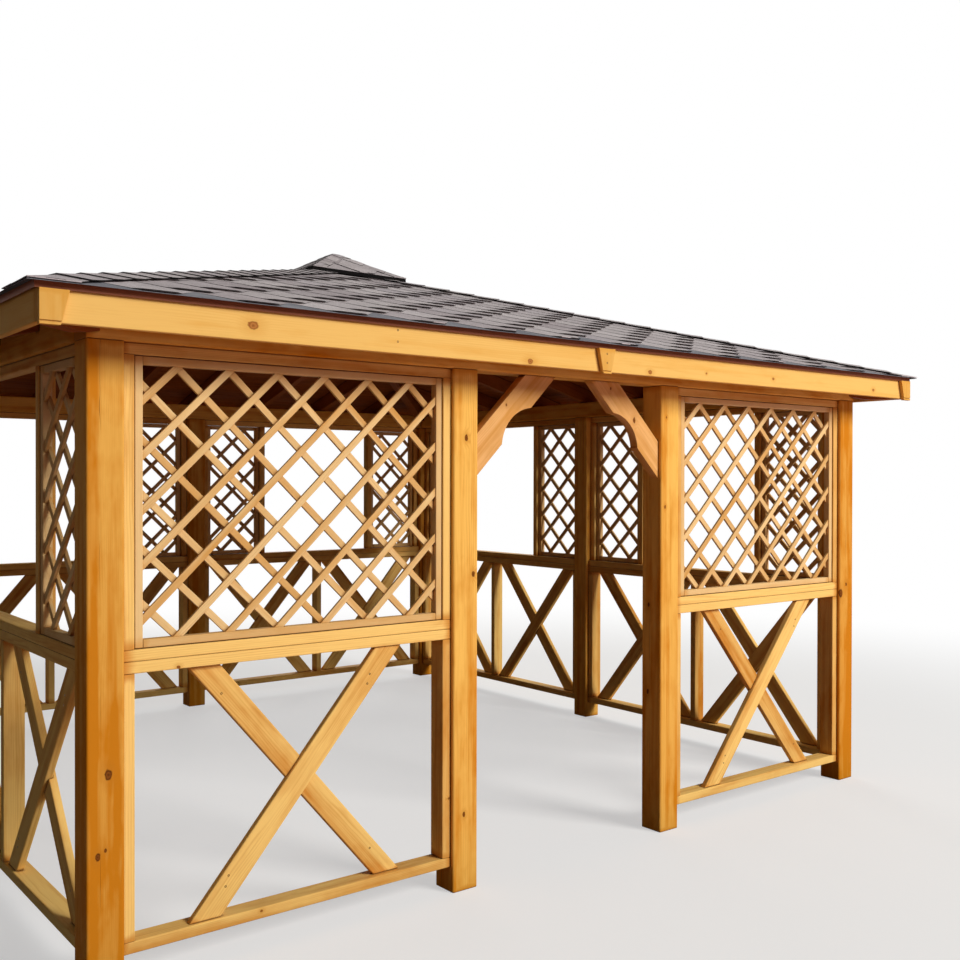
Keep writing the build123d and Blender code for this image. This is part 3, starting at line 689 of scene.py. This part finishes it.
# Shingles: strips with hexagonal tabs, each course half a tab on from the last. A tab is given by
# the lift of its toe, corners, shoulders and head over the roof's surface.
tabLook = {"pitch": 0.333, "length": 0.142, "toe": 0.1, "thickness": 0.0028,
           "lift": [0.002, -0.0042, -0.006, -0.0066], "exposure": 0.142, "start": 0.085, "courses": 17,
           "tabs": 17, "twist": 0.006, "seeds": (3, 8, 13, 18), "drop": 0.0}


def plateForm(rows, thickness):
    # a thin plate from rows of (across, up the slope, lift), with its cut edges marked
    form = bmesh.new()
    cutEdge = form.faces.layers.float.new("cutEdge")
    tops = [[form.verts.new(spot) for spot in row] for row in rows]
    unders = [[form.verts.new((x, y, lift - thickness)) for x, y, lift in row] for row in rows]
    for i in range(len(rows) - 1):
        for j in range(len(rows[i]) - 1):
            form.faces.new((tops[i][j], tops[i][j + 1], tops[i + 1][j + 1], tops[i + 1][j]))
            form.faces.new((unders[i][j], unders[i + 1][j], unders[i + 1][j + 1], unders[i][j + 1]))
    loop = [(0, j) for j in range(len(rows[0]))] + [(i, -1) for i in range(1, len(rows))]
    loop += [(len(rows) - 1, j) for j in range(len(rows[-1]) - 2, -1, -1)]
    loop += [(i, 0) for i in range(len(rows) - 2, 0, -1)]
    for (i, j), (m, n) in zip(loop, loop[1:] + loop[:1]):
        face = form.faces.new((tops[i][j], unders[i][j], unders[m][n], tops[m][n]))
        face[cutEdge] = 1.0
    bmesh.ops.recalc_face_normals(form, faces=form.faces)
    return form


def tabTemplate(look):
    length, half, toe = look["length"], look["pitch"] / 2, look["toe"] / 2
    near = toe + (half - toe) * 0.25
    spans = [(toe, 0.0), (near, length * 0.25), (half, length), (half, 2 * length + 0.012)]
    rows = [[(-w, v, lift), (w, v, lift)] for (w, v), lift in zip(spans, look["lift"])]
    return meshOf(plateForm(rows, look["thickness"]), "tab")


def courseTree():
    # plates in courses: Tabs to a course, every second course moved by Stagger
    tree, add, given = newTree("shingleCourses", ("Pitch", "Exposure", "Stagger", "Start", "Twist"),
                               ("Courses", "Tabs", "Seed"))
    index = add("GeometryNodeInputIndex")
    part = add("ShaderNodeMath", {0: index, 1: given["Tabs"]}, operation="DIVIDE")
    course = add("ShaderNodeMath", {0: part}, operation="FLOOR")
    passed = add("ShaderNodeMath", {0: course, 1: given["Tabs"]}, operation="MULTIPLY")
    place = add("ShaderNodeMath", {0: index, 1: passed}, operation="SUBTRACT")
    last = add("ShaderNodeMath", {0: given["Tabs"], 1: 1.0}, operation="SUBTRACT")
    centred = add("ShaderNodeMath", {0: last, 1: -0.5, 2: place}, operation="MULTIPLY_ADD")
    halfCourse = add("ShaderNodeMath", {0: course, 1: 0.5}, operation="MULTIPLY")
    odd = add("ShaderNodeMath", {0: halfCourse}, operation="FRACT")
    twice = add("ShaderNodeMath", {0: odd, 1: 2.0}, operation="MULTIPLY")
    stagger = add("ShaderNodeMath", {0: twice, 1: given["Stagger"], 2: given["Start"]},
                  operation="MULTIPLY_ADD")
    across = add("ShaderNodeMath", {0: centred, 1: given["Pitch"], 2: stagger}, operation="MULTIPLY_ADD")
    up = add("ShaderNodeMath", {0: course, 1: given["Exposure"]}, operation="MULTIPLY")
    spot = add("ShaderNodeCombineXYZ", {"X": across, "Y": up})
    total = add("ShaderNodeMath", {0: given["Courses"], 1: given["Tabs"]}, operation="MULTIPLY")
    points = add("GeometryNodePoints", {"Count": total, "Position": spot})
    least = add("ShaderNodeMath", {0: given["Twist"], 1: -1.0}, operation="MULTIPLY")
    twist = add("FunctionNodeRandomValue", {2: least, 3: given["Twist"], 8: given["Seed"]}, data_type="FLOAT")
    turn = add("ShaderNodeCombineXYZ", {"Z": twist})
    plates = add("GeometryNodeInstanceOnPoints", {"Points": points, "Instance": given["Geometry"],
                                                  "Rotation": turn})
    seedTwo = add("ShaderNodeMath", {0: given["Seed"], 1: 1.0}, operation="ADD")
    tone = add("FunctionNodeRandomValue", {2: 0.0, 3: 1.0, 8: seedTwo}, data_type="FLOAT")
    toned = add("GeometryNodeStoreNamedAttribute", {"Geometry": plates, "Name": "tabTone", "Value": tone},
                data_type="FLOAT", domain="INSTANCE")
    finishTree(add, given, toned)
    return tree


def trim(form, normal, point=(0, 0, 0)):
    # cuts off what lies beyond a plane and closes the cut
    geometry = form.verts[:] + form.edges[:] + form.faces[:]
    bmesh.ops.bisect_plane(form, geom=geometry, plane_co=point, plane_no=normal, clear_outer=True, dist=0.00001)
    rims = [edge for edge in form.edges if edge.is_boundary]
    if rims:
        bmesh.ops.holes_fill(form, edges=rims)


def slide(form, distance):
    # up the slope
    for vert in form.verts:
        vert.co.y += distance


def drape(form, surface, drop):
    for vert in form.verts:
        vert.co.z += surface(vert.co.x, vert.co.y) - drop


def layCourses(form, look, edge, surface):
    # tabs over the four slopes of a surface, from its eaves to its hips
    template = tabTemplate(look)
    for wall, seed in zip(wallTurn, look["seeds"]):
        field = growForm(courses, template.copy(), "shingle",
                         {"Courses": look["courses"], "Tabs": look["tabs"], "Pitch": look["pitch"],
                          "Exposure": look["exposure"], "Stagger": look["pitch"] / 2, "Start": look["start"],
                          "Twist": look["twist"], "Seed": seed})
        slide(field, -edge)
        trim(field, (1, 1, 0))
        trim(field, (-1, 1, 0))
        drape(field, surface, look["drop"])
        trim(field, (0, -1, 0), (0, -edge, 0))
        join(form, field, turned(wall))
    bpy.data.meshes.remove(template)


courses = courseTree()
cover = bmesh.new()
layCourses(cover, tabLook, roofLook["edge"], roofTop)
makePiece("shingleTabs", cover, "shingle")
print("shingle courses laid")


# Underlay over the boards, and a starter strip on it along the eaves
underlayShape = {"edge": 2.297, "drop": 0.0071, "thickness": 0.0010, "inner": 0.0, "steps": 6}
starterShape = {"edge": 2.2975, "drop": 0.0061, "thickness": 0.0010, "inner": 2.13, "steps": 1}
cutTone = 0.35    # of the sheets under the tabs, where they are shingle


def pyramidSheet(look, surface):
    # a thin sheet over the four slopes, from the eaves up to inner, or to the peak
    form = bmesh.new()
    tone = form.verts.layers.float.new("tabTone")
    cutEdge = form.faces.layers.float.new("cutEdge")
    rings = []
    for level in range(2):
        rows = []
        for i in range(look["steps"] + 1):
            reach = look["edge"] + (look["inner"] - look["edge"]) * i / look["steps"]
            drop = look["drop"] + level * look["thickness"]
            corners = [(-reach, -reach), (reach, -reach), (reach, reach), (-reach, reach)]
            corners = corners if reach > 0.0001 else [(0, 0)]
            rows.append([form.verts.new((x, y, surface(x, y) - drop)) for x, y in corners])
        rings.append(rows)
    for rows in rings:
        for lower, upper in zip(rows, rows[1:]):
            for k in range(4):
                rest = upper if len(upper) == 1 else (upper[(k + 1) % 4], upper[k])
                form.faces.new((lower[k], lower[(k + 1) % 4], *rest))
    for end in (0, -1) if look["inner"] else (0,):
        top, under = rings[0][end], rings[1][end]
        for k in range(4):
            face = form.faces.new((top[k], top[(k + 1) % 4], under[(k + 1) % 4], under[k]))
            face[cutEdge] = 1.0
    for vert in form.verts:
        vert[tone] = cutTone
    bmesh.ops.recalc_face_normals(form, faces=form.faces)
    return form


makePiece("underlay", pyramidSheet(underlayShape, roofTop), "underlay", ["shingle_layer"])
makePiece("starterStrip", pyramidSheet(starterShape, roofTop), "starter")
print("underlay and starter strip laid")


# Ridge tabs, folded over the hips: a flat one on the corner, and the others a little open at their toes
ridgeLook = {"halfWidth": 0.11, "exposure": 0.142, "length": 0.21, "thickness": 0.0028, "start": 0.16,
             "toeLift": 0.0065, "headLift": 0.001, "footLength": 0.24, "footLift": 0.0012, "twist": 0.012,
             "seed": 60, "drop": 0.0}


def ridgeTemplate(look, length, toeLift):
    half = look["halfWidth"]
    rows = []
    for v, lift in ((0.0, toeLift), (length * 0.3, toeLift * 0.6), (length, look["headLift"])):
        narrow = 1.0 if v < length else 0.85
        rows.append([(half * a * narrow, v, lift) for a in (-1, -0.5, 0, 0.5, 1)])
    return meshOf(plateForm(rows, look["thickness"]), "ridge")


def ridges(look, edge, surface):
    foot = ridgeTemplate(look, look["footLength"], look["footLift"])
    others = ridgeTemplate(look, look["length"], look["toeLift"])
    form = bmesh.new()
    diagonal = edge * math.sqrt(2)
    count = int((diagonal - look["start"]) / look["exposure"]) + 1
    lines = ((foot, 1, 0.0, 0.0), (others, count, look["start"], look["twist"]))
    for k in range(4):
        for template, number, start, twist in lines:
            line = growForm(courses, template.copy(), "shingle",
                            {"Courses": number, "Tabs": 1, "Pitch": 0.0, "Exposure": look["exposure"],
                             "Stagger": 0.0, "Start": 0.0, "Twist": twist, "Seed": look["seed"] + k})
            slide(line, start - diagonal)
            trim(line, (0, 1, 0))
            turn = Matrix.Rotation(math.radians(45 + 90 * k), 4, "Z")
            bmesh.ops.transform(line, matrix=turn, verts=line.verts)
            for axis in ((1, 0, 0), (-1, 0, 0), (0, 1, 0), (0, -1, 0)):
                trim(line, axis, tuple(edge * a for a in axis))
            drape(line, surface, look["drop"])
            join(form, line)
    return form


makePiece("ridgeTabs", ridges(ridgeLook, roofLook["edge"], roofTop), "shingle")
print("ridges capped")


# The raised cap over the peak: near-black boards and curb as painted shade, a full first layer,
# shingles in courses, folded ridge tabs
capLook = {"edge": 0.3, "peak": 2.929, "rise": 0.148, "round": 0.03, "sag": 0.007}
capBoardShape = {"edge": capLook["edge"] - 0.002, "drop": 0.0077, "thickness": 0.0183, "inner": 0.0, "steps": 6}
capFirstShape = {"edge": capLook["edge"] - 0.001, "drop": 0.0062, "thickness": 0.0012, "inner": 0.0, "steps": 6}
capTabLook = {**tabLook, "lift": [0.0, -0.001, -0.0025, -0.003], "exposure": 0.115, "start": 0.04, "courses": 3,
              "tabs": 5, "twist": 0.01, "seeds": (90, 91, 92, 93), "drop": 0.0003}
capRidgeLook = {**ridgeLook, "halfWidth": 0.06, "exposure": 0.125, "length": 0.16, "start": 0.12,
                "toeLift": 0.0015, "headLift": -0.003, "footLength": 0.15, "footLift": 0.0, "seed": 120,
                "drop": 0.0015}
curbRound = 0.001


def capTop(x, y):
    fall = capLook["rise"] / (math.hypot(capLook["edge"], capLook["round"]) - capLook["round"])
    reach = max(abs(x), abs(y))
    sag = capLook["sag"] * math.sin(math.pi * min(reach / capLook["edge"], 1.0))
    return capLook["peak"] - fall * (math.hypot(reach, capLook["round"]) - capLook["round"]) - sag


capCover = pyramidSheet(capFirstShape, capTop)
layCourses(capCover, capTabLook, capLook["edge"], capTop)
join(capCover, ridges(capRidgeLook, capLook["edge"], capTop))
makePiece("capShingles", capCover, "shingle")
# painted shade: the cap's boards and curb are near black, for the dark band under the cap's edge
makePiece("capBoards", pyramidSheet(capBoardShape, capTop), "tar", ["cap_roof"])
curb = copyOfNode("cap_curb")
easeEdges(curb, curbRound, 1)
makePiece("capCurb", curb, "tar", ["cap_curb"])
print("cap built")


# Screws, by wall and in the wall's own frame: the face's depth from the posts' outer faces, x and z.
# Each pair of cross braces has the same six places round its middle.
screwSize = {"radius": 0.0042, "socket": 0.0021, "sunk": 0.0012, "proud": 0.0004, "foot": 0.001, "sides": 12}
screwPlaces = {
    "fascia": [(-0.2, -1.042, 2.111), (-0.2, -1.042, 2.152)],
    "keystone": [(-0.2203, -0.002, 2.105), (-0.2203, -0.002, 2.142)],
    "brace": [(0.03, -0.275, 0.273), (0.03, -0.286, 0.238), (0.03, 0.275, 0.864), (0.03, 0.286, 0.899),
              (0.044, -0.295, 0.894), (0.044, 0.295, 0.243)],
}
frontKeystone = -0.029             # its place along the front, where two boards of the fascia meet


def screwHead(size):
    # a flat head with a round socket
    form = bmesh.new()
    rings = [(size["radius"], -size["foot"]), (size["radius"], 0.0), (size["radius"] * 0.85, size["proud"]),
             (size["socket"], size["proud"]), (size["socket"] * 0.9, -size["sunk"])]
    sides = size["sides"]
    turns = [2 * math.pi * a / sides for a in range(sides)]
    made = [[form.verts.new((radius * math.cos(t), radius * math.sin(t), z)) for t in turns]
            for radius, z in rings]
    for lower, upper in zip(made, made[1:]):
        for a in range(sides):
            form.faces.new((lower[a], lower[(a + 1) % sides], upper[(a + 1) % sides], upper[a]))
    form.faces.new(made[0])
    form.faces.new(made[-1])
    return form


def screwTree():
    # a head at each vertex of the object with the places, facing along its own direction
    tree, add, given = newTree("screwHeads", ())
    tree.interface.new_socket("Places", in_out="INPUT", socket_type="NodeSocketObject")
    places = add("GeometryNodeObjectInfo", {"Object": given["Places"]}).outputs["Geometry"]
    facing = add("GeometryNodeInputNamedAttribute", {"Name": "facing"}, data_type="FLOAT_VECTOR").outputs[0]
    spin = add("FunctionNodeRandomValue", {2: 0.0, 3: 6.28, 8: 11}, data_type="FLOAT")
    turn = add("ShaderNodeCombineXYZ", {"Z": spin})
    aim = add("FunctionNodeAlignRotationToVector", {"Vector": facing}, axis="Z")
    heads = add("GeometryNodeInstanceOnPoints", {"Points": places, "Instance": given["Geometry"],
                                                 "Rotation": aim})
    finishTree(add, given, add("GeometryNodeRotateInstances", {"Instances": heads, "Rotation": turn}))
    return tree


def braceMiddles(wall):
    # along the wall, from the sides of its cross braces
    inverse = wallPlace(wall).inverted()
    form = copyOfNode(wall + "_cross_braces")
    middles = set()
    for part in looseParts(form):
        spots = [(inverse @ vert.co).x for vert in part]
        middles.add(round((min(spots) + max(spots)) / 2, 2))
    form.free()
    return sorted(m for m in middles
                  if all(abs(m - other) < 0.001 or abs(m - other) > 0.3 for other in middles))


def screwSpots():
    spots = []
    for wall in wallTurn:
        joint = frontKeystone if wall == "front" else 0.0
        own = screwPlaces["fascia"] + [(y, x + joint, z) for y, x, z in screwPlaces["keystone"]]
        for middle in braceMiddles(wall):
            own += [(y, x + middle, z) for y, x, z in screwPlaces["brace"]]
        out = turned(wall) @ Vector((0, -1, 0))
        spots += [(wallPlace(wall) @ Vector((x, y, z)), out) for y, x, z in own]
    return spots


spots = screwSpots()
placesMesh = bpy.data.meshes.new("screwPlaces")
placesMesh.from_pydata([spot for spot, out in spots], [], [])
facings = placesMesh.attributes.new("facing", "FLOAT_VECTOR", "POINT")
facings.data.foreach_set("vector", [n for spot, out in spots for n in out])
placesHolder = bpy.data.objects.new("screwPlaces", placesMesh)
scene.collection.objects.link(placesHolder)
heads = growForm(screwTree(), meshOf(screwHead(screwSize), "screwHead"), "screw", {"Places": placesHolder})
bpy.data.objects.remove(placesHolder)
makePiece("screwHeads", heads, "screw")
print(len(spots), "screws set")


# Drip edge keeps its CAD shape
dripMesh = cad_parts["drip_edges"].data
dripMesh.materials.clear()
dripMesh.materials.append(materials["drip_metal"])


# Floor, light and camera. To the camera the floor is pale and fades to the background's white. To
# other rays it is pale ground in front of the gazebo, and dark under it and beside it: painted shade
# that darkens the light bounced up into the gazebo and onto its left side.
stageLook = {"floor": "#E6E3DE", "bounce": "#3C2818", "bounceFront": "#DAAEB0", "half": 30.0, "frontFrom": -2.1,
             "frontTo": -2.6, "besideFrom": -2.7, "besideTo": -2.1, "besideShare": 0.4, "fadeFrom": 3.6,
             "fadeTo": 8.5, "seenWhite": 0.5, "worldLevel": 0.055}
lampLook = {"keyLight": {"power": 3900.0, "size": 7.0, "place": (6.5, -18.0, 10.4)},
            "rearFill": {"power": 500.0, "size": 6.0, "place": (6.0, 9.5, 5.0)}}
lampAim = (0, 0, 1.1)
cameraLook = {"place": (-3.149, -5.472, 1.618), "yaw": -38.66, "pitch": -0.367, "roll": 0.113, "lens": 40.5,
              "shiftX": -0.0206, "shiftY": 0.0085}


def seenShare(add):
    # 1 for the rays that show the white room: from the camera, a reflection or through a pane
    path = add("ShaderNodeLightPath").outputs
    seen = add("ShaderNodeMath", {0: path["Is Camera Ray"], 1: path["Is Glossy Ray"]}, operation="ADD")
    return add("ShaderNodeMath", {0: seen, 1: path["Is Transmission Ray"]}, operation="ADD", use_clamp=True)


def makeFloor(look):
    form = bmesh.new()
    bmesh.ops.create_grid(form, x_segments=2, y_segments=2, size=look["half"])
    floor = bpy.data.objects.new("studioFloor", meshOf(form, "studioFloor"))
    scene.collection.objects.link(floor)
    material, add = newMaterial("paintedFloorPale")
    place = add("ShaderNodeTexCoord").outputs["Object"]
    seen = seenShare(add)
    mottle = add("ShaderNodeTexNoise", {"Vector": place, "Scale": 0.8, "Detail": 3.0})
    level = add("ShaderNodeMapRange", {"Value": mottle, "To Min": 0.97, "To Max": 1.03})
    x, y = add("ShaderNodeSeparateXYZ", {0: place}).outputs[:2]
    before = add("ShaderNodeMapRange", {"Value": y, "From Min": look["frontFrom"], "From Max": look["frontTo"]})
    beside = add("ShaderNodeMapRange", {"Value": x, "From Min": look["besideFrom"],
                                        "From Max": look["besideTo"], "To Min": look["besideShare"]})
    front = add("ShaderNodeMath", {0: before, 1: beside}, operation="MULTIPLY")
    ground = add("ShaderNodeMix", {0: front, 6: look["bounce"], 7: look["bounceFront"]}, data_type="RGBA")
    colour = add("ShaderNodeMix", {0: seen, 6: ground, 7: look["floor"]}, data_type="RGBA")
    mottled = add("ShaderNodeHueSaturation", {"Value": level, "Color": colour})
    paint = add("ShaderNodeBsdfPrincipled", {"Base Color": mottled, "Roughness": 0.85})
    distance = add("ShaderNodeVectorMath", {0: place}, operation="LENGTH")
    fade = add("ShaderNodeMapRange", {"Value": distance, "From Min": look["fadeFrom"],
                                      "From Max": look["fadeTo"], "To Min": look["seenWhite"]},
               interpolation_type="SMOOTHSTEP")
    share = add("ShaderNodeMath", {0: fade, 1: seen}, operation="MULTIPLY")
    white = add("ShaderNodeEmission", {"Color": (1, 1, 1, 1), "Strength": 1.0})
    mixed = add("ShaderNodeMixShader", {0: share, 1: paint, 2: white})
    add("ShaderNodeOutputMaterial", {"Surface": mixed})
    floor.data.materials.append(material)


def makeWorld(look):
    world = bpy.data.worlds.new("studioWorld")
    add = startNodes(world)
    strength = add("ShaderNodeMapRange", {"Value": seenShare(add), "To Min": look["worldLevel"]})
    sky = add("ShaderNodeBackground", {"Color": (1, 1, 1, 1), "Strength": strength})
    add("ShaderNodeOutputWorld", {"Surface": sky})
    scene.world = world


def makeLamps(looks):
    for name, look in looks.items():
        data = bpy.data.lights.new(name, "AREA")
        data.energy, data.size = look["power"], look["size"]
        lamp = bpy.data.objects.new(name, data)
        scene.collection.objects.link(lamp)
        lamp.location = look["place"]
        lamp.rotation_euler = (Vector(lampAim) - Vector(look["place"])).to_track_quat("-Z", "Y").to_euler()


def makeCamera(look):
    data = bpy.data.cameras.new("photoCamera")
    data.lens, data.shift_x, data.shift_y = look["lens"], look["shiftX"], look["shiftY"]
    camera = bpy.data.objects.new("photoCamera", data)
    scene.collection.objects.link(camera)
    yaw, pitch, roll = (Matrix.Rotation(math.radians(angle), 4, axis) for angle, axis in
                        ((look["yaw"], "Z"), (90 + look["pitch"], "X"), (look["roll"], "Z")))
    camera.matrix_world = Matrix.Translation(look["place"]) @ yaw @ pitch @ roll
    scene.camera = camera


makeFloor(stageLook)
makeWorld(stageLook)
makeLamps(lampLook)
makeCamera(cameraLook)
scene.view_settings.view_transform = "Standard"
print("stage and camera set")
